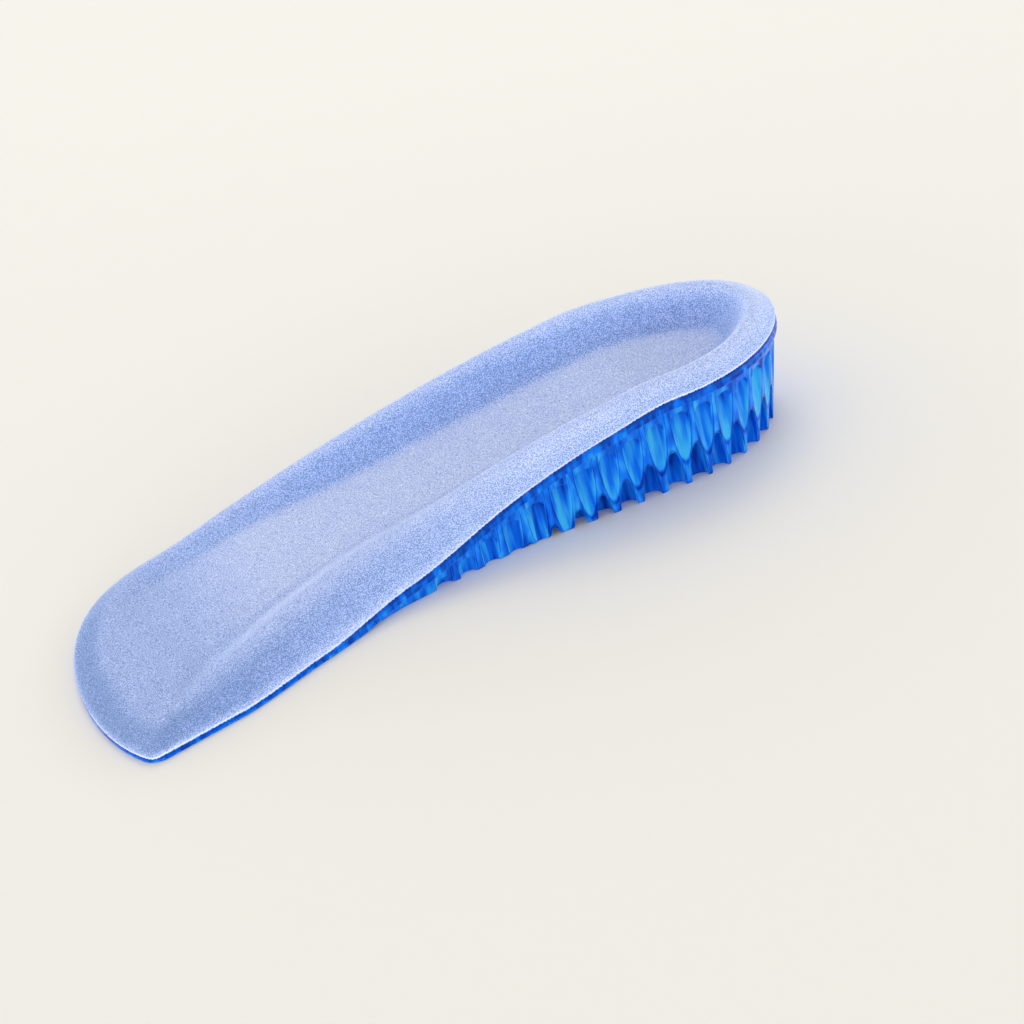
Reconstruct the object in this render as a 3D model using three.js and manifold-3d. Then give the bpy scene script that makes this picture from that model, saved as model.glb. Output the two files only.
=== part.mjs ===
// A three-quarter length gel insole with a heel cup, a raised outer bank and an arch roll.
// Millimetres, +Z up. X runs from the toe end (-) to the heel (+), Y from the arch side (-) to the
// outer side (+). Z = 0 is the flat underside. The tables below measure widths from a straight axis
// through the heel, and the finished group is moved so that its origin is under the middle of its plan.

import * as THREE from 'three';
import { mergeVertices } from 'three/addons/utils/BufferGeometryUtils.js';
import Module from 'manifold-3d';

// Driving sizes

const COVER_THICKNESS = 1.0;
const BOND_GAP = 0.3;
const FLANGE_THICKNESS = 1.9;
const FLANGE_OVERHANG = 0.8;
const WALL_DRAFT = 0.18;

const CELL_PITCH = 5.9;
const CELL_ROW_GAP = 3.8;
const CELL_DIAMETER = 4.2;
const CELL_CLEARANCE = 4.4;
const CELL_SIDES = 7;
const CELL_SKIN = 2.2;
const CELL_MIN_DEPTH = 1.6;
const FLUTE_INSET = 1.3;
const FLUTE_DROP = 1.5;
const FLUTE_ROWS = 2;

const DISH_CENTRE = { x: 49, y: 0.8 };
const DISH_DIAMETER = 23;
const DISH_DEPTH = 0.9;
const DISH_BORDER = 1.2;
const DISH_SIDES = 28;

const HEEL_CENTRE_X = 51.5;
const HEEL_TIP = { x: 86, y: 0.3 };
const ROUND_HANDLE = 0.5523;
const TOE_FAN_X = -58;
const TOE_CORNER = { x: -79.5, y: -39.5 };
const TOE_CURVE_1 = { x: -92.5, y: -21 };
const TOE_CURVE_2 = { x: -89, y: 35 };

const COVER_COLOUR = 0xb4c2ea;
const GEL_COLOUR = 0x0a78f0;

// Section tables: half is the plan width from the axis, edge and crest are heights of the cover's top,
// inset is how far the crest lies in from the edge, and foot is where the bank meets the bed.

const ARCH_SIDE = [
  { x: -86, half: 40.0, edge: 2.1, crest: 2.5, inset: 10.0, foot: 18.0 },
  { x: -60, half: 36.3, edge: 2.1, crest: 4.6, inset: 14.0, foot: 22.0 },
  { x: -38, half: 29.0, edge: 2.4, crest: 7.6, inset: 15.5, foot: 22.0 },
  { x: -15, half: 22.6, edge: 5.6, crest: 11.4, inset: 12.0, foot: 19.0 },
  { x: 10, half: 21.6, edge: 13.7, crest: 18.2, inset: 7.9, foot: 15.5 },
  { x: 35, half: 24.7, edge: 21.7, crest: 25.6, inset: 4.8, foot: 13.5 },
  { x: 51.5, half: 25.9, edge: 24.6, crest: 27.3, inset: 5.0, foot: 14.0 },
];

const OUTER_SIDE = [
  { x: -86, half: 33.6, edge: 2.1, crest: 2.5, inset: 8.0, foot: 16.0 },
  { x: -60, half: 34.2, edge: 2.4, crest: 5.4, inset: 5.0, foot: 12.0 },
  { x: -38, half: 34.2, edge: 5.4, crest: 10.8, inset: 5.0, foot: 12.5 },
  { x: -15, half: 33.5, edge: 10.4, crest: 16.3, inset: 5.0, foot: 13.0 },
  { x: 10, half: 32.2, edge: 16.3, crest: 21.3, inset: 5.0, foot: 13.5 },
  { x: 35, half: 29.7, edge: 21.5, crest: 25.4, inset: 5.0, foot: 13.5 },
  { x: 51.5, half: 27.0, edge: 24.6, crest: 27.3, inset: 5.0, foot: 14.0 },
];

// Height of the bed's top beside the arch roll and beside the outer bank.

const BED = [
  { x: -86, arch: 2.5, outer: 2.5 },
  { x: -60, arch: 3.5, outer: 3.9 },
  { x: -38, arch: 5.8, outer: 7.9 },
  { x: -15, arch: 9.1, outer: 10.3 },
  { x: 10, arch: 13.3, outer: 13.5 },
  { x: 35, arch: 17.4, outer: 17.4 },
  { x: 51.5, arch: 20.1, outer: 20.1 },
];

const SIDE_STEPS = 20;
const HEEL_STEPS = 9;
const FRONT_STEPS = 14;
const CORNER_STEPS = 3;
const ROLL_STEPS = [0, 0.16, 0.4, 0.7, 1];
const BANK_STEPS = [0.3, 0.65, 1];
const BED_STEPS = [0.45];
const MERGE_DISTANCE = 1e-3;
const TOOL_BOTTOM = -1;

const lerp = THREE.MathUtils.lerp;
const clamp = THREE.MathUtils.clamp;

// Smooth value of one table column at a place along the length, with no overshoot between rows.

function stepSlope(rows, column, i) {
  return (rows[i + 1][column] - rows[i][column]) / (rows[i + 1].x - rows[i].x);
}

function slopeAt(rows, column, i) {
  if (i === 0) {
    return stepSlope(rows, column, 0);
  }
  const before = stepSlope(rows, column, i - 1);
  if (i === rows.length - 1) {
    return column === 'half' ? before : 0;
  }
  const after = stepSlope(rows, column, i);
  return before * after <= 0 ? 0 : (2 * before * after) / (before + after);
}

function columnAt(rows, column, x) {
  const place = clamp(x, rows[0].x, rows[rows.length - 1].x);
  let i = 0;
  while (i < rows.length - 2 && place > rows[i + 1].x) {
    i += 1;
  }
  const width = rows[i + 1].x - rows[i].x;
  const t = (place - rows[i].x) / width;
  const startSlope = slopeAt(rows, column, i) * width;
  const endSlope = slopeAt(rows, column, i + 1) * width;
  const start = rows[i][column];
  const end = rows[i + 1][column];
  const rise = (3 - 2 * t) * t * t;
  return start + (end - start) * rise + startSlope * t * (1 - t) ** 2 - endSlope * t * t * (1 - t);
}

function spineY(x) {
  const outer = columnAt(OUTER_SIDE, 'half', x);
  const arch = columnAt(ARCH_SIDE, 'half', x);
  return (outer - arch) / 2;
}

// One point of the outline with its section values and the spine point that it faces.

function rimPoint(x, y, spineX) {
  const spine = { x: spineX, y: spineY(spineX) };
  const rows = y < spine.y ? ARCH_SIDE : OUTER_SIDE;
  const rim = { x, y, spine, reach: Math.hypot(spine.x - x, spine.y - y) };
  for (const column of ['edge', 'crest', 'inset', 'foot']) {
    rim[column] = columnAt(rows, column, x);
  }
  return rim;
}

// Quarter of the heel's outline, from one side to the tip, that carries on the side's own direction.

function heelCurve(rows, side) {
  const last = rows[rows.length - 1];
  const run = (HEEL_TIP.x - last.x) * ROUND_HANDLE;
  const start = new THREE.Vector2(last.x, side * last.half);
  const spread = run * slopeAt(rows, 'half', rows.length - 1);
  const leave = new THREE.Vector2(last.x + run, side * (last.half + spread));
  const arrive = new THREE.Vector2(HEEL_TIP.x, HEEL_TIP.y + side * last.half * ROUND_HANDLE);
  const tip = new THREE.Vector2(HEEL_TIP.x, HEEL_TIP.y);
  return new THREE.CubicBezierCurve(start, leave, arrive, tip);
}

function makeOutline() {
  const rims = [];
  const sideX = (k) => lerp(TOE_FAN_X, HEEL_CENTRE_X, k / SIDE_STEPS);
  for (let k = 0; k <= SIDE_STEPS; k += 1) {
    const x = sideX(k);
    rims.push(rimPoint(x, -columnAt(ARCH_SIDE, 'half', x), x));
  }
  const archQuarter = heelCurve(ARCH_SIDE, -1).getSpacedPoints(HEEL_STEPS);
  const outerQuarter = heelCurve(OUTER_SIDE, 1).getSpacedPoints(HEEL_STEPS);
  for (const point of [...archQuarter.slice(1), ...outerQuarter.slice(1, -1).reverse()]) {
    rims.push(rimPoint(point.x, point.y, HEEL_CENTRE_X));
  }
  for (let k = SIDE_STEPS; k >= 0; k -= 1) {
    const x = sideX(k);
    rims.push(rimPoint(x, columnAt(OUTER_SIDE, 'half', x), x));
  }
  const outerStart = rims[rims.length - 1];
  const front = new THREE.CubicBezierCurve(
    new THREE.Vector2(outerStart.x, outerStart.y),
    new THREE.Vector2(TOE_CURVE_2.x, TOE_CURVE_2.y),
    new THREE.Vector2(TOE_CURVE_1.x, TOE_CURVE_1.y),
    new THREE.Vector2(TOE_CORNER.x, TOE_CORNER.y),
  );
  for (const point of front.getSpacedPoints(FRONT_STEPS).slice(1)) {
    rims.push(rimPoint(point.x, point.y, TOE_FAN_X));
  }
  const sideStart = rims[0];
  for (let k = 1; k < CORNER_STEPS; k += 1) {
    const x = lerp(TOE_CORNER.x, sideStart.x, k / CORNER_STEPS);
    const y = lerp(TOE_CORNER.y, sideStart.y, k / CORNER_STEPS);
    rims.push(rimPoint(x, y, TOE_FAN_X));
  }
  return rims;
}

// Point at a distance in from the outline, towards the spine.

function inward(rim, distance) {
  const share = clamp(distance / rim.reach, 0, 1);
  return { x: lerp(rim.x, rim.spine.x, share), y: lerp(rim.y, rim.spine.y, share) };
}

function bedHeight(x, y) {
  const arch = -columnAt(ARCH_SIDE, 'half', x) + columnAt(ARCH_SIDE, 'foot', x);
  const outer = columnAt(OUTER_SIDE, 'half', x) - columnAt(OUTER_SIDE, 'foot', x);
  const share = clamp((y - arch) / (outer - arch), 0, 1);
  return lerp(columnAt(BED, 'arch', x), columnAt(BED, 'outer', x), share);
}

// Height of the cover's top at a distance in from the outline: roll, then bank, then bed.

function topHeight(rim, distance) {
  const point = inward(rim, distance);
  const bed = bedHeight(point.x, point.y);
  if (distance <= rim.inset) {
    const share = distance / rim.inset;
    return rim.edge + (rim.crest - rim.edge) * (1 - (1 - share) ** 2);
  }
  const share = clamp((distance - rim.inset) / (rim.foot - rim.inset), 0, 1);
  return lerp(rim.crest, bed, share * share * (3 - 2 * share));
}

// Rings of vertices from the outline to the spine, each with a distance and a height for every rim.

function topRings(rims, drop) {
  const distances = [
    ...ROLL_STEPS.map((share) => (rim) => rim.inset * share),
    ...BANK_STEPS.map((share) => (rim) => lerp(rim.inset, rim.foot, share)),
    ...BED_STEPS.map((share) => (rim) => lerp(rim.foot, rim.reach, share)),
    (rim) => rim.reach,
  ];
  return distances.map((distance) => rims.map((rim) => {
    const point = inward(rim, distance(rim));
    return new THREE.Vector3(point.x, point.y, topHeight(rim, distance(rim)) - drop);
  }));
}

// Closed solid between an upper and a lower stack of rings that share the outline and the spine.

function shellGeometry(upper, lower) {
  const rings = [...upper.slice().reverse(), ...lower];
  const count = upper[0].length;
  const corners = [];
  for (let k = 0; k + 1 < rings.length; k += 1) {
    for (let i = 0; i < count; i += 1) {
      const j = (i + 1) % count;
      const a = rings[k][i];
      const b = rings[k][j];
      const c = rings[k + 1][j];
      const d = rings[k + 1][i];
      corners.push([a, c, b], [a, d, c]);
    }
  }
  const flat = corners.flat().flatMap((corner) => [corner.x, corner.y, corner.z]);
  const geometry = new THREE.BufferGeometry();
  geometry.setAttribute('position', new THREE.Float32BufferAttribute(flat, 3));
  return withoutSlivers(mergeVertices(geometry, MERGE_DISTANCE));
}

function withoutSlivers(geometry) {
  const index = geometry.index.array;
  const kept = [];
  for (let i = 0; i < index.length; i += 3) {
    const [a, b, c] = [index[i], index[i + 1], index[i + 2]];
    if (a !== b && b !== c && c !== a) {
      kept.push(a, b, c);
    }
  }
  geometry.setIndex(kept);
  return geometry;
}

// Solids that can be cut

const wasm = await Module();
wasm.setup();

function toSolid(geometry) {
  const bare = geometry.clone();
  bare.deleteAttribute('normal');
  bare.deleteAttribute('uv');
  const merged = mergeVertices(bare, MERGE_DISTANCE);
  return new wasm.Manifold(new wasm.Mesh({
    numProp: 3,
    vertProperties: new Float32Array(merged.attributes.position.array),
    triVerts: new Uint32Array(merged.index.array),
  }));
}

function toGeometry(solid) {
  const mesh = solid.getMesh();
  const geometry = new THREE.BufferGeometry();
  geometry.setAttribute('position', new THREE.BufferAttribute(mesh.vertProperties, 3));
  geometry.setIndex(new THREE.BufferAttribute(mesh.triVerts, 1));
  return geometry;
}

function upright(radius, bottom, top, sides) {
  const geometry = new THREE.CylinderGeometry(radius, radius, top - bottom, sides);
  geometry.rotateX(Math.PI / 2);
  geometry.translate(0, 0, (top + bottom) / 2);
  return geometry;
}

// Velour cover: a sheet over the whole top

function coverGeometry(rims) {
  return shellGeometry(topRings(rims, 0), topRings(rims, COVER_THICKNESS));
}

// Gel base before its cells are cut: top under the cover, flange, drafted wall and flat underside

const GEL_DROP = COVER_THICKNESS + BOND_GAP;

function flangeHeight(rim) {
  return Math.max(0, rim.edge - GEL_DROP - FLANGE_THICKNESS);
}

function gelBlock(rims) {
  const under = [
    (rim) => [0, flangeHeight(rim)],
    (rim) => [FLANGE_OVERHANG, flangeHeight(rim)],
    (rim) => [FLANGE_OVERHANG + WALL_DRAFT * flangeHeight(rim), 0],
    (rim) => [rim.reach, 0],
  ];
  const lower = under.map((place) => rims.map((rim) => {
    const [distance, height] = place(rim);
    const point = inward(rim, distance);
    return new THREE.Vector3(point.x, point.y, height);
  }));
  return toSolid(shellGeometry(topRings(rims, GEL_DROP), lower));
}

// Distance in from the outline and height of the gel's top over a plan point

function nearestRim(rims, x, y) {
  let best = null;
  rims.forEach((rim, i) => {
    const next = rims[(i + 1) % rims.length];
    const along = new THREE.Vector2(next.x - rim.x, next.y - rim.y);
    const share = clamp(((x - rim.x) * along.x + (y - rim.y) * along.y) / along.lengthSq(), 0, 1);
    const dx = x - rim.x - along.x * share;
    const dy = y - rim.y - along.y * share;
    const distance = Math.hypot(dx, dy);
    const inside = along.x * dy - along.y * dx > 0;
    if (best === null || distance < best.distance) {
      best = { distance, inside, rim: share < 0.5 ? rim : next };
    }
  });
  return best;
}

function gelTop(rims, x, y) {
  const { distance, rim } = nearestRim(rims, x, y);
  const cover = distance < rim.foot ? topHeight(rim, distance) : bedHeight(x, y);
  return cover - GEL_DROP;
}

// Blind end of a cell: under the skin, and clear of the flange where the cell opens through the wall

function cellTop(rims, x, y) {
  const radius = CELL_DIAMETER / 2;
  const around = [[0, 0], [radius, 0], [-radius, 0], [0, radius], [0, -radius]];
  const skin = Math.min(...around.map(([dx, dy]) => gelTop(rims, x + dx, y + dy))) - CELL_SKIN;
  const { distance, rim } = nearestRim(rims, x, y);
  const opensSideways = distance < FLUTE_INSET + radius;
  return opensSideways ? Math.min(skin, flangeHeight(rim) - FLUTE_DROP) : skin;
}

// Rows of cells that follow the outline, evenly spaced along it and staggered from row to row

function flutePlaces(rims) {
  const line = new THREE.CatmullRomCurve3(rims.map((rim) => new THREE.Vector3(rim.x, rim.y, 0)), true);
  const count = Math.round(line.getLength() / CELL_PITCH);
  const places = [];
  for (let row = 0; row < FLUTE_ROWS; row += 1) {
    const inset = FLUTE_INSET + row * CELL_ROW_GAP;
    for (let k = 0; k < count; k += 1) {
      const t = line.getUtoTmapping((k + row / 2) / count);
      const along = line.getTangent(t);
      const square = new THREE.Vector3(-along.y, along.x, 0);
      places.push(line.getPoint(t).addScaledVector(square, inset));
    }
  }
  return places;
}

// Rows of cells in a honeycomb lattice over the whole plan

function latticePlaces() {
  const places = [];
  const rowGap = CELL_PITCH * Math.sqrt(3) / 2;
  const reach = Math.ceil(HEEL_TIP.x / rowGap);
  for (let row = -reach; row <= reach; row += 1) {
    for (let column = -reach; column <= reach; column += 1) {
      const x = (column + (row % 2 === 0 ? 0 : 0.5)) * CELL_PITCH;
      places.push(new THREE.Vector3(x, row * rowGap, 0));
    }
  }
  return places;
}

// All cells that are deep enough, keep their walls to each other and stay off the dish

function cellPlaces(rims) {
  const candidates = [...flutePlaces(rims), ...latticePlaces()];
  const dish = new THREE.Vector3(DISH_CENTRE.x, DISH_CENTRE.y, 0);
  const clearDish = DISH_DIAMETER / 2 + DISH_BORDER + CELL_DIAMETER / 2;
  const places = [];
  for (const place of candidates) {
    const { distance, inside } = nearestRim(rims, place.x, place.y);
    const crowded = places.some((other) => other.distanceTo(place) < CELL_CLEARANCE);
    if (!inside || distance < FLUTE_INSET / 2 || crowded || place.distanceTo(dish) < clearDish) {
      continue;
    }
    const top = cellTop(rims, place.x, place.y);
    if (top >= CELL_MIN_DEPTH) {
      places.push(place);
    }
  }
  return places;
}

function gelGeometry(rims) {
  let solid = gelBlock(rims);
  for (const cell of cellPlaces(rims)) {
    const tool = upright(CELL_DIAMETER / 2, TOOL_BOTTOM, cellTop(rims, cell.x, cell.y), CELL_SIDES);
    tool.translate(cell.x, cell.y, 0);
    solid = solid.subtract(toSolid(tool));
  }
  const dish = upright(DISH_DIAMETER / 2, TOOL_BOTTOM, DISH_DEPTH, DISH_SIDES);
  dish.translate(DISH_CENTRE.x, DISH_CENTRE.y, 0);
  return toGeometry(solid.subtract(toSolid(dish)));
}

function finish(colour, roughness, metalness) {
  return new THREE.MeshStandardMaterial({ color: colour, roughness, metalness });
}

function piece(name, geometry, material) {
  const mesh = new THREE.Mesh(geometry, material);
  mesh.name = name;
  return mesh;
}

const rims = makeOutline();
const insole = new THREE.Group();
insole.name = 'arch_support_insole';
insole.add(piece('gel_base', gelGeometry(rims), finish(GEL_COLOUR, 0.15, 0)));
insole.add(piece('top_cover', coverGeometry(rims), finish(COVER_COLOUR, 0.95, 0)));

// The origin lies on the underside, below the middle of the plan.

const middle = new THREE.Box3().setFromObject(insole).getCenter(new THREE.Vector3());
insole.position.set(-middle.x, -middle.y, 0);

export default insole;
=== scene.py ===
"""Arch support insole: a clear blue gel lift with open cells, under a cover of pale blue velour.

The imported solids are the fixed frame. Over them this file builds the moulded gel with its rounded cells,
flutes, flange and dish, the velour cover with its pile and cut edge, and a plain stage.
"""

import math
from collections import namedtuple

import bpy
import numpy as np
from bpy.props import FloatProperty, FloatVectorProperty, IntProperty, PointerProperty
from mathutils import Matrix, Vector
from mathutils.geometry import delaunay_2d_cdt


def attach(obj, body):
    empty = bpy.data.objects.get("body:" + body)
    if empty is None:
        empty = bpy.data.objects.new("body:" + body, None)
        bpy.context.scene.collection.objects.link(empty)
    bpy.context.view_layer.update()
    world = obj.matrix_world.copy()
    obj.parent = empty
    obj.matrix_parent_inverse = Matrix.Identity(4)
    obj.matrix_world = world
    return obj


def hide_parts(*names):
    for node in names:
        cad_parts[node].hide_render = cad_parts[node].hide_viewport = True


bl_info = {
    "name": "Arch Support Insole",
    "version": (1, 0, 0),
    "blender": (4, 5, 0),
    "location": "3D View > Sidebar > Insole",
    "description": "Builds a gel arch support insole with a velour cover, and a stage for it",
    "category": "Add Mesh",
}

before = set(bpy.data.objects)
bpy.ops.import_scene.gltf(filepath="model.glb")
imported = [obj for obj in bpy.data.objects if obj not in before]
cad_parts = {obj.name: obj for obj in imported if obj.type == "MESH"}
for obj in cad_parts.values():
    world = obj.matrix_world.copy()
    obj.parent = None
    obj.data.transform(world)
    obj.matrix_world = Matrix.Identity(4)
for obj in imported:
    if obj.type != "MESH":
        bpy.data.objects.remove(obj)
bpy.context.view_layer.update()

# Millimetres and tables
# X runs from the toe end (-) to the heel (+), Y from the arch side (-) to the outer side (+), Z is up.

MM = 0.001

Section = namedtuple("Section", "x half edge crest inset foot")
BedLine = namedtuple("BedLine", "x arch outer")

# half is the plan width from a straight axis, edge and crest are heights of the cover's top, inset is how
# far the crest lies in from the edge, and foot is where the bank meets the bed.

ARCH_SIDE = [
    Section(-86.0, 40.0, 2.1, 2.5, 10.0, 18.0),
    Section(-60.0, 36.3, 2.1, 4.6, 14.0, 22.0),
    Section(-38.0, 29.0, 2.4, 7.6, 15.5, 22.0),
    Section(-15.0, 22.6, 5.6, 11.4, 12.0, 19.0),
    Section(10.0, 21.6, 13.7, 18.2, 7.9, 15.5),
    Section(35.0, 24.7, 21.7, 25.6, 4.8, 13.5),
    Section(51.5, 25.9, 24.6, 27.3, 5.0, 14.0),
]

OUTER_SIDE = [
    Section(-86.0, 33.6, 2.1, 2.5, 8.0, 16.0),
    Section(-60.0, 34.2, 2.4, 5.4, 5.0, 12.0),
    Section(-38.0, 34.2, 5.4, 10.8, 5.0, 12.5),
    Section(-15.0, 33.5, 10.4, 16.3, 5.0, 13.0),
    Section(10.0, 32.2, 16.3, 21.3, 5.0, 13.5),
    Section(35.0, 29.7, 21.5, 25.4, 5.0, 13.5),
    Section(51.5, 27.0, 24.6, 27.3, 5.0, 14.0),
]

# Height of the bed's top beside the arch roll and beside the outer bank

BED = [
    BedLine(-86.0, 2.5, 2.5),
    BedLine(-60.0, 3.5, 3.9),
    BedLine(-38.0, 5.8, 7.9),
    BedLine(-15.0, 9.1, 10.3),
    BedLine(10.0, 13.3, 13.5),
    BedLine(35.0, 17.4, 17.4),
    BedLine(51.5, 20.1, 20.1),
]

HEEL_CENTRE_X = 51.5
HEEL_TIP = (86.0, 0.3)
ROUND_HANDLE = 0.5523
TOE_FAN_X = -58.0
TOE_CORNER = (-79.5, -39.5)
TOE_CURVE_1 = (-92.5, -21.0)
TOE_CURVE_2 = (-89.0, 35.0)
CORNER_RADIUS = 3.0
CORNER_PASSES = 12
CORNER_EASE = 0.5
FRONT_BULGE = 1.15
CURVE_STEPS = 400
SIDE_BLEND = 7.0


def linear(code):
    """Linear colour of an sRGB hex value."""
    parts = [int(code[i:i + 2], 16) / 255 for i in (1, 3, 5)]
    return [c / 12.92 if c <= 0.04045 else ((c + 0.055) / 1.055) ** 2.4 for c in parts]


# Settings that a user would change


class InsoleCoverSettings(bpy.types.PropertyGroup):
    thickness: FloatProperty(
        name="Thickness", description="Thickness of the velour with its backing",
        default=1.0 * MM, unit="LENGTH")
    pile: FloatProperty(
        name="Pile", description="How far single tufts stand off the even surface",
        default=0.045 * MM, unit="LENGTH")
    spacing: FloatProperty(
        name="Tuft spacing", description="Spacing of the mesh, about one tuft of pile",
        default=0.45 * MM, unit="LENGTH")
    # Colour of the painted shade on the pile: on gentle rolls, on the outer edges of tight rolls and down
    # steep banks, and where it grows darker towards the toe
    deep: FloatVectorProperty(
        name="Crowded pile", description="Colour where a hollow crowds the pile",
        default=linear("#6e8fcb"), subtype="COLOR", size=3)
    even: FloatVectorProperty(
        name="Even pile", description="Colour where the pile stands evenly",
        default=linear("#abbef2"), subtype="COLOR", size=3)
    # Colour of the painted light on the pile: on tight rolls and on the bed
    open: FloatVectorProperty(
        name="Open pile", description="Colour where a tight roll opens the pile",
        default=linear("#dde4fa"), subtype="COLOR", size=3)
    backing: FloatVectorProperty(
        name="Cut edge", description="Colour of the knitted backing where it is cut",
        default=linear("#fbfcff"), subtype="COLOR", size=3)


class InsoleGelSettings(bpy.types.PropertyGroup):
    flange: FloatProperty(
        name="Flange", description="Thickness of the flange under the cover's edge",
        default=1.9 * MM, unit="LENGTH")
    overhang: FloatProperty(
        name="Overhang", description="How far the flange stands out over the wall",
        default=0.8 * MM, unit="LENGTH")
    draft: FloatProperty(
        name="Draft", description="How much the wall leans in for each unit of height",
        default=0.18)
    cell: FloatProperty(
        name="Cell", description="Diameter of one cell",
        default=4.2 * MM, unit="LENGTH")
    pitch: FloatProperty(
        name="Pitch", description="Spacing of the cells along a row",
        default=5.9 * MM, unit="LENGTH")
    lip: FloatProperty(
        name="Lip", description="Rounding round the mouth of each cell",
        default=0.36 * MM, unit="LENGTH")
    sides: IntProperty(
        name="Sides", description="Number of points round a cell", default=24, min=12, max=48)
    dish: FloatProperty(
        name="Dish", description="Diameter of the dish under the heel",
        default=23.0 * MM, unit="LENGTH")
    dish_depth: FloatProperty(
        name="Dish depth", description="Depth of the dish under the heel",
        default=0.9 * MM, unit="LENGTH")
    # Colour of the painted shade on the gel: along the cells' edges, on the flange under the cover, on the
    # shaded half of each cell and in dark streaks; the flat underside leans a little towards it
    thick: FloatVectorProperty(
        name="Thick gel", description="Colour where the gel is thick or seen along an edge",
        default=linear("#0034b0"), subtype="COLOR", size=3)
    body: FloatVectorProperty(
        name="Gel", description="Colour of the gel's body",
        default=linear("#0c80ff"), subtype="COLOR", size=3)
    # Colour of the painted highlights on the gel: a line just inside each cell, the lit half of each cell and
    # pale streaks
    thin: FloatVectorProperty(
        name="Thin gel", description="Colour of thin webs and of lands that catch the light",
        default=linear("#44c0ff"), subtype="COLOR", size=3)


class InsoleStageSettings(bpy.types.PropertyGroup):
    floor: FloatVectorProperty(
        name="Floor", description="Colour of the plain floor",
        default=linear("#f4f1ea"), subtype="COLOR", size=3)
    azimuth: FloatProperty(
        name="Azimuth", description="Camera's turn about the vertical",
        default=math.radians(-14.773), subtype="ANGLE")
    elevation: FloatProperty(
        name="Elevation", description="Camera's height above the floor as an angle",
        default=math.radians(30.371), subtype="ANGLE")
    roll: FloatProperty(
        name="Roll", description="Camera's turn about its own line of sight",
        default=math.radians(15.446), subtype="ANGLE")
    distance: FloatProperty(
        name="Distance", description="Camera's distance to the point that it looks at",
        default=581.6 * MM, unit="LENGTH")
    lens: FloatProperty(
        name="Lens", description="Focal length in millimetres on a 36 mm frame",
        default=92.5)
    target: FloatVectorProperty(
        name="Target", description="Point that the camera looks at",
        default=(16.09 * MM, 0.0, -0.29 * MM), subtype="TRANSLATION", size=3)


# The outline and the height of the top over it


def column_at(rows, column, x):
    """Smooth value of a table column at places along the length, with no overshoot between rows."""
    place = np.array([row.x for row in rows])
    value = np.array([getattr(row, column) for row in rows])
    step = np.diff(value) / np.diff(place)
    slope = np.zeros(len(rows))
    slope[0] = step[0]
    slope[-1] = step[-1] if column == "half" else 0.0
    before, after = step[:-1], step[1:]
    with np.errstate(divide="ignore", invalid="ignore"):
        slope[1:-1] = np.where(before * after > 0, 2 * before * after / (before + after), 0.0)
    x = np.clip(x, place[0], place[-1])
    i = np.clip(np.searchsorted(place, x) - 1, 0, len(rows) - 2)
    width = place[i + 1] - place[i]
    t = (x - place[i]) / width
    rise = (3 - 2 * t) * t * t
    ends = slope[i] * t * (1 - t) ** 2 - slope[i + 1] * t * t * (1 - t)
    return value[i] + (value[i + 1] - value[i]) * rise + width * ends


def spine_y(x):
    """Line midway between the two sides."""
    return (column_at(OUTER_SIDE, "half", x) - column_at(ARCH_SIDE, "half", x)) / 2


def bezier(a, b, c, d, count):
    """Points along a cubic curve, evenly spaced, without its first point."""
    t = np.linspace(0, 1, CURVE_STEPS)[:, None]
    a, b, c, d = (np.array(p, float) for p in (a, b, c, d))
    path = a * (1 - t) ** 3 + 3 * b * t * (1 - t) ** 2 + 3 * c * t * t * (1 - t) + d * t ** 3
    run = np.concatenate([[0], np.cumsum(np.linalg.norm(np.diff(path, axis=0), axis=1))])
    even = np.linspace(0, run[-1], count + 1)[1:]
    return np.column_stack([np.interp(even, run, path[:, k]) for k in (0, 1)])


def heel_quarter(rows, side, count):
    """Outline from one side to the tip of the heel, carrying on the side's own direction."""
    last, before = rows[-1], rows[-2]
    run = (HEEL_TIP[0] - last.x) * ROUND_HANDLE
    spread = run * (last.half - before.half) / (last.x - before.x)
    start = (last.x, side * last.half)
    leave = (last.x + run, side * (last.half + spread))
    arrive = (HEEL_TIP[0], HEEL_TIP[1] + side * last.half * ROUND_HANDLE)
    return start, bezier(start, leave, arrive, HEEL_TIP, count)


def smooth(share):
    """Eased share from 0 to 1, level at both ends."""
    share = np.clip(share, 0, 1)
    return share * share * (3 - 2 * share)


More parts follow.
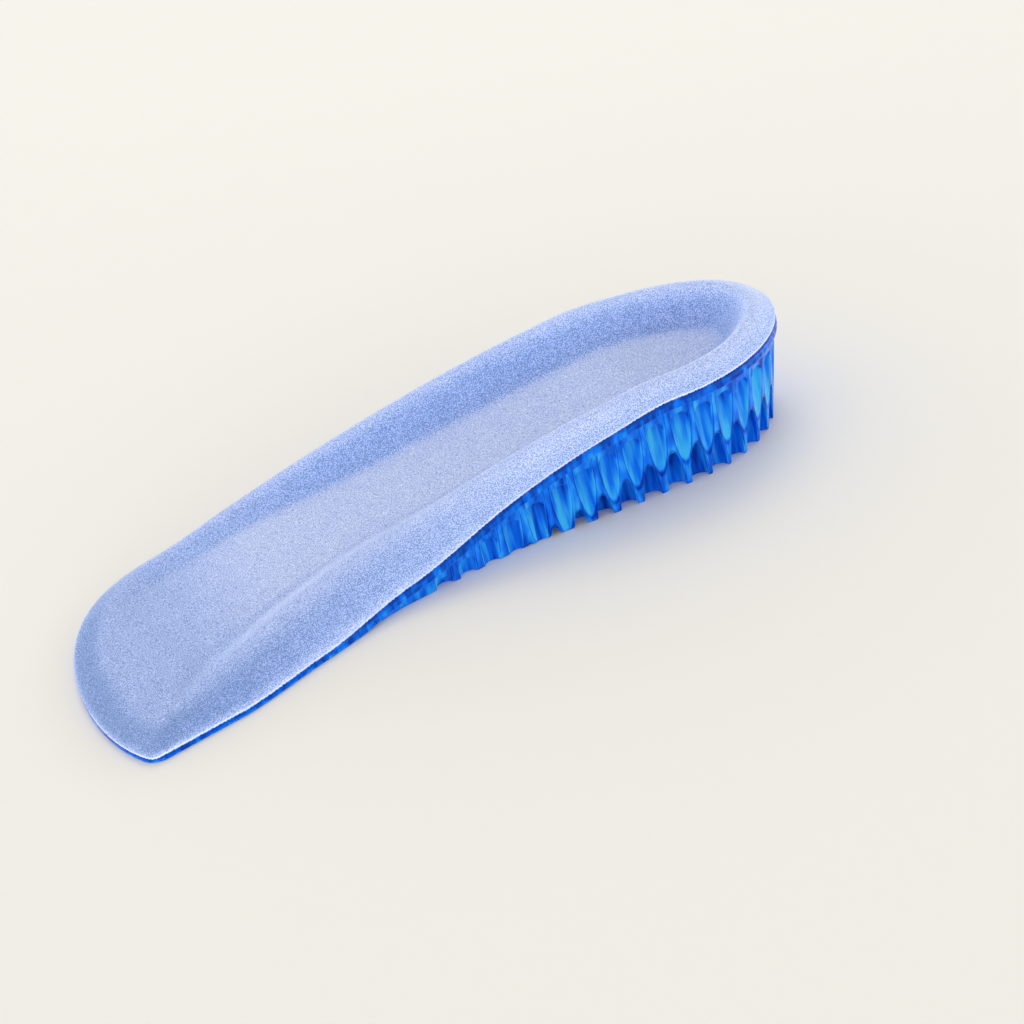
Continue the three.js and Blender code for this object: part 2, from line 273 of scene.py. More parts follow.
class Outline:
    """Places along the outline, in millimetres, with the section values that hold at each."""

    def __init__(self, spacing):
        points = self.round_corner(self.path(spacing))
        self.x, self.y = points.T
        self.count = len(points)
        self.spine_x = np.clip(self.x, TOE_FAN_X, HEEL_CENTRE_X)
        self.spine_y = spine_y(self.spine_x)
        self.reach = np.hypot(self.spine_x - self.x, self.spine_y - self.y)
        outer = smooth((self.y - self.spine_y) / (2 * SIDE_BLEND) + 0.5)
        for column in ("edge", "crest", "inset", "foot"):
            arch_value = column_at(ARCH_SIDE, column, self.x)
            outer_value = column_at(OUTER_SIDE, column, self.x)
            setattr(self, column, arch_value + (outer_value - arch_value) * outer)
        along = np.roll(points, -1, axis=0) - np.roll(points, 1, axis=0)
        along /= np.linalg.norm(along, axis=1)[:, None]
        self.normal = np.column_stack([-along[:, 1], along[:, 0]])
        self.middle = (points.min(axis=0) + points.max(axis=0)) / 2

    @staticmethod
    def path(spacing):
        """Points along the arch side, round the heel, back along the outer side and across the front."""
        side = np.linspace(TOE_FAN_X, HEEL_CENTRE_X, round((HEEL_CENTRE_X - TOE_FAN_X) / spacing))
        arch = np.column_stack([side, -column_at(ARCH_SIDE, "half", side)])
        outer = np.column_stack([side, column_at(OUTER_SIDE, "half", side)])[::-1]
        quarter = round(math.pi / 2 * (HEEL_TIP[0] - HEEL_CENTRE_X) / spacing)
        arch_heel = heel_quarter(ARCH_SIDE, -1, quarter)[1]
        outer_heel = heel_quarter(OUTER_SIDE, 1, quarter)[1][-2::-1]
        front_count = round(math.dist(outer[-1], TOE_CORNER) * FRONT_BULGE / spacing)
        front = bezier(outer[-1], TOE_CURVE_2, TOE_CURVE_1, TOE_CORNER, front_count)
        corner_count = round(math.dist(TOE_CORNER, arch[0]) / spacing)
        share = np.linspace(0, 1, corner_count + 1)[1:-1, None]
        corner = np.array(TOE_CORNER) * (1 - share) + arch[0] * share
        return np.concatenate([arch, arch_heel, outer_heel, outer, front, corner])

    @staticmethod
    def round_corner(points):
        """Points with the sharp front corner eased round."""
        near = np.linalg.norm(points - np.array(TOE_CORNER), axis=1)
        weight = smooth(1 - near / CORNER_RADIUS)[:, None]
        for _ in range(CORNER_PASSES):
            even = (np.roll(points, 1, axis=0) + np.roll(points, -1, axis=0)) / 2
            points = points + (even - points) * CORNER_EASE * weight
        return points

    def inward(self, distance):
        """Places at a distance in from the outline, on the way to the spine."""
        share = np.clip(distance / self.reach, 0, 1)
        x = self.x + (self.spine_x - self.x) * share
        y = self.y + (self.spine_y - self.y) * share
        return x, y

    def top(self, distance, pick=slice(None)):
        """Height of the cover's top at a distance in from the outline: roll, then bank, then bed."""
        share = np.clip(distance / self.reach[pick], 0, 1)
        x = self.x[pick] + (self.spine_x[pick] - self.x[pick]) * share
        y = self.y[pick] + (self.spine_y[pick] - self.y[pick]) * share
        edge, crest = self.edge[pick], self.crest[pick]
        inset, foot = self.inset[pick], self.foot[pick]
        roll = edge + (crest - edge) * (1 - (1 - np.clip(distance / inset, 0, 1)) ** 2)
        bank = crest + (bed_height(x, y) - crest) * smooth((distance - inset) / (foot - inset))
        return np.where(distance <= inset, roll, bank)

    def nearest(self, points):
        """Index of the nearest place, distance in from the outline (negative outside), share to the next."""
        rim = np.column_stack([self.x, self.y])
        best = np.full(len(points), np.inf)
        index = np.zeros(len(points), int)
        share = np.zeros(len(points))
        sign = np.ones(len(points))
        near = np.concatenate([
            np.argmin(((chunk[:, None, :] - rim[None]) ** 2).sum(axis=2), axis=1)
            for chunk in np.array_split(points, max(1, len(points) // 2000))
        ])
        for back in (1, 0):
            start = (near - back) % self.count
            a = rim[start]
            along = rim[(start + 1) % self.count] - a
            t = np.clip(((points - a) * along).sum(axis=1) / (along ** 2).sum(axis=1), 0, 1)
            off = points - a - along * t[:, None]
            distance = np.linalg.norm(off, axis=1)
            closer = distance < best
            best = np.where(closer, distance, best)
            index = np.where(closer, start, index)
            share = np.where(closer, t, share)
            cross = along[:, 0] * off[:, 1] - along[:, 1] * off[:, 0]
            sign = np.where(closer, np.where(cross >= 0, 1.0, -1.0), sign)
        return index, best * sign, share

    def between(self, values, index, share):
        """Value part of the way from one place to the next."""
        return values[index] * (1 - share) + values[(index + 1) % self.count] * share


def bed_height(x, y):
    """Height of the bed between the arch roll and the outer bank."""
    arch = column_at(ARCH_SIDE, "foot", x) - column_at(ARCH_SIDE, "half", x)
    outer = column_at(OUTER_SIDE, "half", x) - column_at(OUTER_SIDE, "foot", x)
    share = np.clip((y - arch) / (outer - arch), 0, 1)
    low, high = column_at(BED, "arch", x), column_at(BED, "outer", x)
    return low + (high - low) * share


# Meshes and materials


def add_piece(name, points, faces, materials, middle, face_materials=None):
    """A mesh object from points in millimetres, moved so that the outline's middle is the origin."""
    moved = (np.asarray(points) - np.array([middle[0], middle[1], 0])) * MM
    mesh = bpy.data.meshes.new(name)
    mesh.from_pydata(moved.tolist(), [], [tuple(face) for face in faces])
    for material in materials:
        mesh.materials.append(material)
    if face_materials is not None:
        mesh.polygons.foreach_set("material_index", np.asarray(face_materials, np.int32))
    mesh.polygons.foreach_set("use_smooth", np.ones(len(mesh.polygons), bool))
    mesh.validate()
    mesh.update()
    piece = bpy.data.objects.new(name, mesh)
    bpy.context.scene.collection.objects.link(piece)
    return piece


def ring_faces(rings, count, start=0):
    """Four-sided faces between neighbouring rings that hold count points each, outside up."""
    ring = np.arange(rings - 1)[:, None] * count + start
    i = np.arange(count)[None]
    j = (i + 1) % count
    return np.stack([ring + i, ring + j, ring + count + j, ring + count + i], axis=2).reshape(-1, 4)


def merged(points, faces, tags, nearness=1e-4):
    """Points that lie together become one, and faces that lose their area go."""
    keys = np.round(points / nearness).astype(np.int64)
    _, first, where = np.unique(keys, axis=0, return_index=True, return_inverse=True)
    where = where.ravel()
    kept, kept_tags = [], []
    for face, tag in zip(faces, tags):
        corners = list(dict.fromkeys(int(where[c]) for c in face))
        if len(corners) > 2:
            kept.append(corners)
            kept_tags.append(tag)
    return points[first], kept, kept_tags


def add_node(tree, kind, inputs=None, stops=(), **settings):
    """Adds a node, sets its properties and colour stops, and links or sets its inputs by name or number."""
    made = tree.nodes.new(kind)
    for name, value in settings.items():
        setattr(made, name, value)
    for key, value in (inputs or {}).items():
        if isinstance(value, bpy.types.NodeSocket):
            tree.links.new(value, made.inputs[key])
        else:
            made.inputs[key].default_value = value
    for i, (place, colour) in enumerate(stops):
        elements = made.color_ramp.elements
        element = elements[i] if i < len(elements) else elements.new(place)
        element.position = place
        element.color = rgba(colour)
    return made


def new_material(name):
    """A material with an empty node tree."""
    material = bpy.data.materials.new(name)
    material.use_nodes = True
    material.node_tree.nodes.clear()
    return material, material.node_tree


def rgba(colour):
    """A colour with full opacity."""
    return (*colour[:3], 1.0)


def paint(mesh, name, values):
    """Stores one number for each point of a mesh, for a material to read."""
    layer = mesh.attributes.new(name, "FLOAT", "POINT")
    layer.data.foreach_set("value", np.asarray(values, np.float32))


# Real sizes of the patterns. Single fibres of the pile are too fine to show, so its grain is drawn as clumps.

CLUMP = 0.24 * MM
CLUMP_BUMP = 0.4 * MM
MOTTLE = 5.0 * MM
THREAD = 0.5 * MM
THREAD_BUMP = 0.2 * MM
FLOW_MARK = 3.0 * MM
FLOW_BUMP = 0.2 * MM
# Size of the painted light and dark streaks in the gel, long and upright
PAINTED_STREAK = (1.6 * MM, 1.6 * MM, 14.0 * MM)

# Span that most of a noise lies in

NOISE_SPAN = {"From Min": 0.3, "From Max": 0.7}


def velour_material(settings):
    """Brushed knit velour: short upright pile, soft and dull, paler where it is seen along the surface."""
    material, tree = new_material("Velour brushed knit")
    place = add_node(tree, "ShaderNodeTexCoord").outputs["Object"]
    clump = add_node(tree, "ShaderNodeTexNoise", {
        "Vector": place, "Scale": 1 / CLUMP, "Detail": 0.0})
    mottle = add_node(tree, "ShaderNodeTexNoise", {
        "Vector": place, "Scale": 1 / MOTTLE, "Detail": 2.0, "Roughness": 0.5})
    # Painted light and shade on the pile, stored as one number for each point
    painted_pile_light = add_node(tree, "ShaderNodeAttribute", attribute_name=PAINTED_PILE_LIGHT)
    tips = add_node(tree, "ShaderNodeMapRange", {
        "Value": clump.outputs["Fac"], **NOISE_SPAN, "To Min": -0.25, "To Max": 0.25})
    cloud = add_node(tree, "ShaderNodeMapRange", {
        "Value": mottle.outputs["Fac"], **NOISE_SPAN, "To Min": -0.03, "To Max": 0.03})
    grain = add_node(tree, "ShaderNodeMath", {0: tips.outputs[0], 1: cloud.outputs[0]}, operation="ADD")
    share = add_node(tree, "ShaderNodeMath", {0: grain.outputs[0], 1: painted_pile_light.outputs["Fac"]}, operation="ADD")
    # Grain plus the painted light and shade, turned into colour from shaded through even to lit pile
    pile_light_ramp = add_node(tree, "ShaderNodeValToRGB", {"Fac": share.outputs[0]}, stops=[
        (0.0, settings.deep), (0.5, settings.even), (1.0, settings.open)])
    light = add_node(tree, "ShaderNodeMapRange", {
        "Value": clump.outputs["Fac"], **NOISE_SPAN, "To Min": 0.84, "To Max": 1.16})
    colour = add_node(tree, "ShaderNodeMix", {
        0: 1.0, 6: pile_light_ramp.outputs["Color"], 7: light.outputs[0]},
        data_type="RGBA", blend_type="MULTIPLY", clamp_result=True)
    bump = add_node(tree, "ShaderNodeBump", {
        "Height": clump.outputs["Fac"], "Strength": 0.2, "Distance": CLUMP_BUMP})
    shader = add_node(tree, "ShaderNodeBsdfPrincipled", {
        "Base Color": colour.outputs[2], "Normal": bump.outputs[0], "Roughness": 0.95,
        "Specular IOR Level": 0.1, "Sheen Weight": 0.6, "Sheen Roughness": 0.4,
        "Sheen Tint": (0.84, 0.91, 1.0, 1.0)})
    add_node(tree, "ShaderNodeOutputMaterial", {"Surface": shader.outputs[0]})
    return material


def backing_material(settings):
    """Cut knit backing: pale fuzzy threads that catch the light as a thin line."""
    material, tree = new_material("Knit backing cut edge")
    place = add_node(tree, "ShaderNodeTexCoord").outputs["Object"]
    thread = add_node(tree, "ShaderNodeTexNoise", {
        "Vector": place, "Scale": 1 / THREAD, "Detail": 1.0})
    colour = add_node(tree, "ShaderNodeMix", {
        0: thread.outputs["Fac"], 6: rgba(settings.even),
        7: rgba(settings.backing)}, data_type="RGBA")
    bump = add_node(tree, "ShaderNodeBump", {
        "Height": thread.outputs["Fac"], "Strength": 0.6, "Distance": THREAD_BUMP})
    shader = add_node(tree, "ShaderNodeBsdfPrincipled", {
        "Base Color": colour.outputs[2], "Normal": bump.outputs[0], "Roughness": 0.9})
    add_node(tree, "ShaderNodeOutputMaterial", {"Surface": shader.outputs[0]})
    return material


def gel_material(settings):
    """Moulded clear elastomer gel: glossy and blue, with painted light and shade in its colour: painted shade
    along the cells' edges and on the flange under the cover, a painted highlight line inside each cell, one
    half of each cell painted lighter than the other, and painted light and dark streaks.
    """
    material, tree = new_material("Elastomer gel moulded clear blue")
    place = add_node(tree, "ShaderNodeTexCoord").outputs["Object"]
    flow = add_node(tree, "ShaderNodeTexNoise", {
        "Vector": place, "Scale": 1 / FLOW_MARK, "Detail": 2.0})
    bump = add_node(tree, "ShaderNodeBump", {
        "Height": flow.outputs["Fac"], "Strength": 0.25, "Distance": FLOW_BUMP})
    tall = add_node(tree, "ShaderNodeMapping", {
        "Vector": place, "Scale": tuple(1 / size for size in PAINTED_STREAK)})
    painted_streak = add_node(tree, "ShaderNodeTexNoise", {
        "Vector": tall.outputs[0], "Scale": 1.0, "Detail": 2.0})
    # Painted light and dark streaks, strongest on upright faces, standing in for light refracted through the
    # gel
    inner = add_node(tree, "ShaderNodeMapRange", {
        "Value": painted_streak.outputs["Fac"], **NOISE_SPAN, "To Min": -0.42, "To Max": 0.42})
    normal = add_node(tree, "ShaderNodeNewGeometry").outputs["Normal"]
    rise = add_node(tree, "ShaderNodeSeparateXYZ", {0: normal}).outputs["Z"]
    level = add_node(tree, "ShaderNodeMath", {0: rise, 1: rise}, operation="MULTIPLY").outputs[0]
    upright = add_node(tree, "ShaderNodeMapRange", {"Value": level, "To Min": 1.0, "To Max": 0.1})
    # The tint with painted light and shade stored on each point of the gel
    tint_and_painted_light = add_node(tree, "ShaderNodeAttribute", attribute_name=TINT_AND_PAINTED_LIGHT)
    # Painted streaks on upright faces, plus the stored tint with painted light and shade
    depth = add_node(tree, "ShaderNodeMath", {
        0: inner.outputs[0], 1: upright.outputs[0], 2: tint_and_painted_light.outputs["Fac"]}, operation="MULTIPLY_ADD")
    colour = add_node(tree, "ShaderNodeValToRGB", {"Fac": depth.outputs[0]}, stops=[
        (0.0, settings.thick), (0.5, settings.body), (1.0, settings.thin)])
    shader = add_node(tree, "ShaderNodeBsdfPrincipled", {
        "Base Color": colour.outputs["Color"], "Normal": bump.outputs[0], "Roughness": 0.04,
        "IOR": 1.5, "Specular Tint": (0.1, 0.55, 1.0, 1.0), "Transmission Weight": 0.25,
        "Subsurface Weight": 1.0, "Subsurface Radius": (0.1, 0.3, 0.6), "Subsurface Scale": MM})
    add_node(tree, "ShaderNodeOutputMaterial", {"Surface": shader.outputs[0]})
    return material


# Velour cover

ROLL_RINGS = 22
BANK_RINGS = 24
BED_RINGS = 30
UNDER_RINGS = 8
CUT_ROUND = 0.4
CUT_SEED = 11
TOOTH = 0.24
TOOTH_SHARES = (0.2, 1.0)
PILE_FACES_UP = 0.05
# Name under which the cover's points store their painted light and shade
PAINTED_PILE_LIGHT = "painted_pile_light"
TIGHT_ROLL = 0.09
STEEP_BANK = 0.9
LOW_RIM = 4.0
TALL_RIM = 16.0
# Where the pile starts growing darker towards the toe, and over what length it reaches full darkness
TOE_DARKENING_X = -35.0
TOE_DARKENING_RUN = 30.0
# Steps of painted light and shade on the pile, with the even pile at 0.5: light on tight rolls and on the
# bed, shade on gentle rolls, on the outer edges of tight rolls and down steep banks, and a darkening towards
# the toe
EVEN_NAP = 0.5
ROLL_HIGHLIGHT = 0.05
TOE_DARKENING = 0.14
RIM_EDGE_SHADE = 0.14
BED_LIGHT = 0.11
GENTLE_ROLL_SHADE = 0.26
BANK_SHADE = 0.3

# Where each band of painted light or shade on the pile sets in and how wide it fades, as shares of the roll's
# or the bank's width

Fade = namedtuple("Fade", "start width")
ROLL_HIGHLIGHT_IN = Fade(0.0, 0.4)
ROLL_HIGHLIGHT_OUT = Fade(0.0, 0.4)
GENTLE_ROLL_SHADE_IN = Fade(0.0, 0.15)
GENTLE_ROLL_SHADE_OUT = Fade(0.4, 0.5)
BANK_SHADE_IN = Fade(0.0, 0.45)
BANK_SHADE_OUT = Fade(0.76, 0.24)
RIM_EDGE_SHADE_OUT = Fade(0.0, 0.6)
BED_LIGHT_IN = Fade(0.9, 0.4)

# The cut edge from the top of its rounding down; the last point's drop is measured up from the underside

CutPoint = namedtuple("CutPoint", "inset drop")
CUT_EDGE = [
    CutPoint(CUT_ROUND, 0.0),
    CutPoint(0.2, 0.04),
    CutPoint(0.06, 0.16),
    CutPoint(0.0, 0.36),
]
CUT_FOOT = CutPoint(0.05, 0.06)


def build_cover(settings):
    """The velour as rings of points from the underside's middle, round the cut edge, to the bed's middle."""
    outline = Outline(settings.spacing / MM)
    thickness = settings.thickness / MM
    edge = [*CUT_EDGE, CutPoint(CUT_FOOT.inset, thickness - CUT_FOOT.drop)]
    rings = []
    for point in reversed(edge):
        rings.append(place_ring(outline, np.full(outline.count, point.inset), point.drop))
    start = CUT_ROUND / outline.inset
    for share in np.linspace(0, 1, ROLL_RINGS + 1)[1:]:
        rings.append(place_ring(outline, outline.inset * (start + (1 - start) * share), 0.0))
    for share in np.linspace(0, 1, BANK_RINGS + 1)[1:]:
        rings.append(place_ring(outline, outline.inset + (outline.foot - outline.inset) * share, 0.0))
    for share in np.linspace(0, 1, BED_RINGS + 1)[1:]:
        rings.append(place_ring(outline, outline.foot + (outline.reach - outline.foot) * share, 0.0))
    under = [place_ring(outline, CUT_ROUND + (outline.reach - CUT_ROUND) * share, thickness)
             for share in np.linspace(0, 1, UNDER_RINGS)]
    rings = under[::-1] + rings
    random = np.random.default_rng(CUT_SEED)
    cut = len(under)
    tooth = np.where(np.arange(outline.count) % 2 == 0, TOOTH, 0.0)
    rings[cut][:, 2] += tooth * random.uniform(*TOOTH_SHARES, outline.count)
    faces = ring_faces(len(rings), outline.count)
    tags = np.zeros(len(faces), int)
    tags[:(cut + 1) * outline.count] = 1
    points, faces, tags = merged(np.concatenate(rings), faces, tags)
    materials = [velour_material(settings), backing_material(settings)]
    cover = add_piece("top_cover_velour", points, faces, materials, outline.middle, tags)
    paint(cover.data, PAINTED_PILE_LIGHT, painted_pile_light_of(outline, points))
    raise_pile(cover.data, settings, random)
    return cover


def faded(value, fade):
    """Share of a fade that a value has passed."""
    return smooth((value - fade.start) / fade.width)


def painted_pile_light_of(outline, points):
    """Painted light and shade on the pile, 0.5 where it is even: painted light on a tight roll and on the
    bed, painted shade on the outer edge of a tight roll, on a gentle roll and down a steep bank, and darker
    towards the toe.
    """
    index, distance, _ = outline.nearest(points[:, :2])
    inset, foot = outline.inset[index], outline.foot[index]
    rise = outline.crest[index] - outline.edge[index]
    fall = outline.crest[index] - bed_height(outline.spine_x[index], outline.spine_y[index])
    tight = smooth(rise / inset ** 2 / TIGHT_ROLL) * smooth((outline.crest[index] - LOW_RIM) / TALL_RIM)
    steep = smooth(fall / (foot - inset) / STEEP_BANK)
    roll = distance / inset
    bank = (distance - inset) / (foot - inset)
    # Painted light over a tight roll and its crest, fading into the top of the bank
    lit_roll = tight * faded(roll, ROLL_HIGHLIGHT_IN) * (1 - faded(bank, ROLL_HIGHLIGHT_OUT))
    # Painted shade over the outer part of a gentle roll
    shaded_roll = (1 - tight) * faded(roll, GENTLE_ROLL_SHADE_IN) * (1 - faded(roll, GENTLE_ROLL_SHADE_OUT))
    # Painted shade down a steep bank, growing from the crest and fading out at its foot
    crowded = steep * faded(bank, BANK_SHADE_IN) * (1 - faded(bank, BANK_SHADE_OUT))
    # Darker towards the toe
    toe = smooth((TOE_DARKENING_X - points[:, 0]) / TOE_DARKENING_RUN)
    # Painted shade on the outer edge of a tight roll
    rim = tight * (1 - faded(roll, RIM_EDGE_SHADE_OUT))
    # Painted light on the bed, fading out towards the toe
    bed = faded(bank, BED_LIGHT_IN) * (1 - toe)
    # The even pile with painted light added, and painted shade and the darkening towards the toe taken off
    darkening = GENTLE_ROLL_SHADE * shaded_roll + BANK_SHADE * crowded + TOE_DARKENING * toe + RIM_EDGE_SHADE * rim
    return EVEN_NAP + ROLL_HIGHLIGHT * lit_roll + BED_LIGHT * bed - darkening


def place_ring(outline, distance, drop):
    """A ring of points at a distance in from the outline, at a drop below the cover's top."""
    x, y = outline.inward(distance)
    return np.column_stack([x, y, outline.top(distance) - drop])


def raise_pile(mesh, settings, random):
    """Moves each point of the pile a little along its normal, less where points lie closer than a tuft."""
    count = len(mesh.vertices)
    place, normal = np.zeros(count * 3), np.zeros(count * 3)
    mesh.vertices.foreach_get("co", place)
    mesh.vertices.foreach_get("normal", normal)
    place, normal = place.reshape(-1, 3), normal.reshape(-1, 3)
    pairs = np.zeros(len(mesh.edges) * 2, int)
    mesh.edges.foreach_get("vertices", pairs)
    pairs = pairs.reshape(-1, 2)
    length = np.linalg.norm(place[pairs[:, 0]] - place[pairs[:, 1]], axis=1)
    shortest = np.full(count, np.inf)
    np.minimum.at(shortest, pairs[:, 0], length)
    np.minimum.at(shortest, pairs[:, 1], length)
    height = random.normal(0.0, settings.pile, count) * np.clip(shortest / settings.spacing, 0, 1)
    height = np.where(normal[:, 2] > PILE_FACES_UP, height, 0.0)
    mesh.vertices.foreach_set("co", (place + normal * height[:, None]).ravel())
    mesh.update()


# Moulded gel base

BOND = 0.05
GEL_SPACING = 1.0
CELL_CLEARANCE = 4.4
CELL_ROW_GAP = 3.8
CELL_SKIN = 2.2
CELL_MIN_DEPTH = 1.6
CELL_DRAFT = 0.12
CELL_DOME = 1.9
DOME_STEPS = (0.0, 0.1, 0.35, 1.0)
FLUTE_INSET = 1.3
FLUTE_DROP = 1.5
FLUTE_ROWS = 2
CAD_BOND = 1.3
FOOT_ROUND = 0.5
FLANGE_ROUND = 0.4
WALL_STEPS = 7
MIN_WALL = 0.8
DISH_CENTRE = (49.0, 0.8)
DISH_BORDER = 1.2
GEL_TOP_RINGS = 14
RING_CROWD = 1.5
EDGE_STEP = 0.05
SHARP_ANGLE = math.radians(50)
DISH_SIDES = 72
DISH_INNER_RING = -1.6
DISH_RING_STEP = 0.35
DISH_STEP = 0.45
DISH_EASE = 1.4
DISH_LEAD = 0.35
PIP_SPACING = 1.7
PIP_MARGIN = 1.8
PIP_SCATTER = 0.25
PIP_LENGTH = 0.9
PIP_WIDTH = 0.42
PIP_RISE = 0.3
PIP_BORDER = 0.8
GEL_SEED = 5
# Name under which the gel's points store their tint with painted light and shade
TINT_AND_PAINTED_LIGHT = "tint_and_painted_light"
FLUTE_ROUND = 3.0
LIP_STEPS = (1.0, 0.55, 0.2, 0.0)
LIP_RISE = (0.0, 0.1, 0.45, 1.0)
FOOT_STEPS = (-0.9, -0.35, 0.0, 0.4, 1.2, 2.8)
FOOT_REACH = 6.0
RING_MARGIN = 0.01
RIM_CLEARANCE = 0.1
SAME_INSET = 1e-6
SAME_POINT = 1e-5
# Heights above the flange's underside where its painted shade under the cover's edge sets in, and where it
# turns darkest, in the groove
FLANGE_LINE = 0.45
GROOVE = 1.4
# Steps of the gel's colour ramp, with the body at 0.5: painted shade along the cells' edges and on the flange
# under the cover, a little deeper on the flat underside, the body in the cells and on the lands, a painted
# highlight line just inside each cell, and the painted lightening and darkening of each cell's two halves
EDGE_SHADE_TINT = 0.0
FLANGE_SHADE_TINT = 0.25
BASE_TINT = 0.4
WEB_TINT = 0.5
LAND_TINT = 0.5
HIGHLIGHT_LINE_TINT = 0.85
HALF_LIGHT_TINT = 0.2

# The flange's edge from the cover down, by shares of its height: a groove under the velour, a rounded rim

FlangePoint = namedtuple("FlangePoint", "inset share")
FLANGE_PROFILE = [
    FlangePoint(0.36, 0.97),
    FlangePoint(0.33, 0.74),
    FlangePoint(0.12, 0.64),
    FlangePoint(0.0, 0.5),
    FlangePoint(0.0, 0.22),
    FlangePoint(0.1, 0.07),
    FlangePoint(FLANGE_ROUND, 0.0),
]


class GelForm:
    """Heights of the gel's underside and the places of its cells, in millimetres."""

    def __init__(self, settings):
        self.outline = Outline(GEL_SPACING)
        self.settings = settings
        self.radius = settings.cell / MM / 2
        self.lip = settings.lip / MM
        self.sides = settings.sides
        self.overhang = settings.overhang / MM
        self.draft = settings.draft
        self.flange = np.maximum(0.0, self.outline.edge - CAD_BOND - settings.flange / MM)
        self.dish_radius = settings.dish / MM / 2
        self.cells = self.find_cells()

    def cover_top(self, points):
        """Height of the cover's top over plan points."""
        index, distance, _ = self.outline.nearest(points)
        roll = self.outline.top(np.maximum(distance, 0), index)
        return np.where(distance < self.outline.foot[index], roll, bed_height(*points.T))

    def cell_top(self, place):
        """Height of a cell's end: a skin below the top, or a drop below the flange where the wall cuts it."""
        ring = np.array([[0, 0], [1, 0], [-1, 0], [0, 1], [0, -1]]) * self.radius + place
        skin = self.cover_top(ring).min() - CAD_BOND - CELL_SKIN
        index, distance, _ = self.outline.nearest(place[None])
        if distance[0] < FLUTE_INSET + self.radius:
            return min(skin, self.flange[index[0]] - FLUTE_DROP)
        return skin

    def flutes(self):
        """Cells in rows that follow the outline, evenly spaced along it and staggered from row to row."""
        line = np.column_stack([self.outline.x, self.outline.y, self.outline.normal])
        line = np.concatenate([line, line[:1]])
        run = np.concatenate([[0], np.cumsum(np.linalg.norm(np.diff(line[:, :2], axis=0), axis=1))])
        count = round(run[-1] / (self.settings.pitch / MM))
        rows = []
        for row in range(FLUTE_ROWS):
            at = (np.arange(count) + row / 2) * run[-1] / count
            x, y, square_x, square_y = (np.interp(at, run, column) for column in line.T)
            inset = FLUTE_INSET + row * CELL_ROW_GAP
            rows.append(np.column_stack([x + square_x * inset, y + square_y * inset]))
        return np.concatenate(rows)

    def lattice(self):
        """Cells in straight staggered rows over the whole plan."""
        pitch = self.settings.pitch / MM
        gap = pitch * math.sqrt(3) / 2
        reach = math.ceil(HEEL_TIP[0] / gap)
        return np.array([((column + row % 2 / 2) * pitch, row * gap)
                         for row in range(-reach, reach + 1) for column in range(-reach, reach + 1)])

    def find_cells(self):
        """Cells that are deep enough, keep their walls to each other and stay off the dish."""
        candidates = np.concatenate([self.flutes(), self.lattice()])
        _, distance, _ = self.outline.nearest(candidates)
        from_dish = np.linalg.norm(candidates - np.array(DISH_CENTRE), axis=1)
        usable = (distance > FLUTE_INSET / 2) & (from_dish > self.dish_radius + DISH_BORDER + self.radius)
        cells = []
        for place in candidates[usable]:
            crowded = any(math.dist(place, cell[:2]) < CELL_CLEARANCE for cell in cells)
            top = self.cell_top(place)
            if not crowded and top >= CELL_MIN_DEPTH:
                cells.append((place[0], place[1], top))
        return np.array(cells)

    def wall(self, points):
        """Height of the underside without cells: flange, leaning wall and flat foot with a rounded edge."""
        index, distance, share = self.outline.nearest(points)
        flange = self.outline.between(self.flange, index, share)
        lean = flange - (distance - self.overhang) / self.draft
        rounding = np.minimum(FOOT_ROUND, flange)
        foot = (lean + np.sqrt(lean ** 2 + rounding ** 2)) / 2
        foot = np.where(lean < -FOOT_REACH * FOOT_ROUND, 0.0, foot)
        return np.where(distance <= self.overhang, flange, np.minimum(foot, flange)), distance

    def ring_radii(self):
        """Radii of the rings of points round a cell: rounded mouth, wall, domed end."""
        mouth = [self.radius + self.lip * k for k in LIP_STEPS]
        dome = [self.radius - CELL_DRAFT - CELL_DOME * k for k in DOME_STEPS]
        return mouth, dome

    def polygon_radius(self, points, centre):
        """Distance from a cell's axis, measured so that a ring's straight sides have one value."""
        off = points - centre
        sector = 2 * math.pi / self.sides
        turn = np.mod(np.arctan2(off[:, 1], off[:, 0]), sector) - sector / 2
        return np.linalg.norm(off, axis=1) * np.cos(turn) / math.cos(sector / 2)

    def under(self, points):
        """Height of the underside at plan points."""
        base, _ = self.wall(points)
        mouth, dome = self.ring_radii()
        rise = [self.lip * k for k in LIP_RISE]
        fall = [CELL_DOME * (1 - math.sqrt(1 - (1 - k) ** 2)) for k in DOME_STEPS]
        height = base.copy()
        inside_limit = (mouth[-1] + dome[0]) / 2
        for x, y, top in self.cells:
            near = np.abs(points - np.array([x, y])).max(axis=1) < mouth[0] + RING_MARGIN
            spot = np.flatnonzero(near)
            radius = self.polygon_radius(points[spot], np.array([x, y]))
            lip = np.interp(radius, mouth[::-1], rise[::-1], right=0.0)
            end = top - np.interp(radius, [0.0, *dome[::-1]], [0.0, *fall[::-1]])
            inside = radius < inside_limit
            lip *= 1 + FLUTE_ROUND * smooth(base[spot] / FLUTE_ROUND)
            raised = np.where(inside, np.maximum(base[spot], end), base[spot] + lip)
            height[spot] = np.maximum(height[spot], raised)
        ceiling = self.cover_top(points) - CAD_BOND - CELL_SKIN / 2
        return np.minimum(height, np.maximum(base, ceiling))

    def tint_and_painted_light(self, points):
        """Tint with painted light and shade of the gel, 0.5 in its body: painted shade on the lip just
        outside each cell and on the flange under the cover, a painted highlight line just inside each cell's
        mouth, the half of each cell that faces the heel painted lighter and the other half darker, and a
        little deeper on the flat underside.
        """
        edge = np.full(len(points), np.inf)
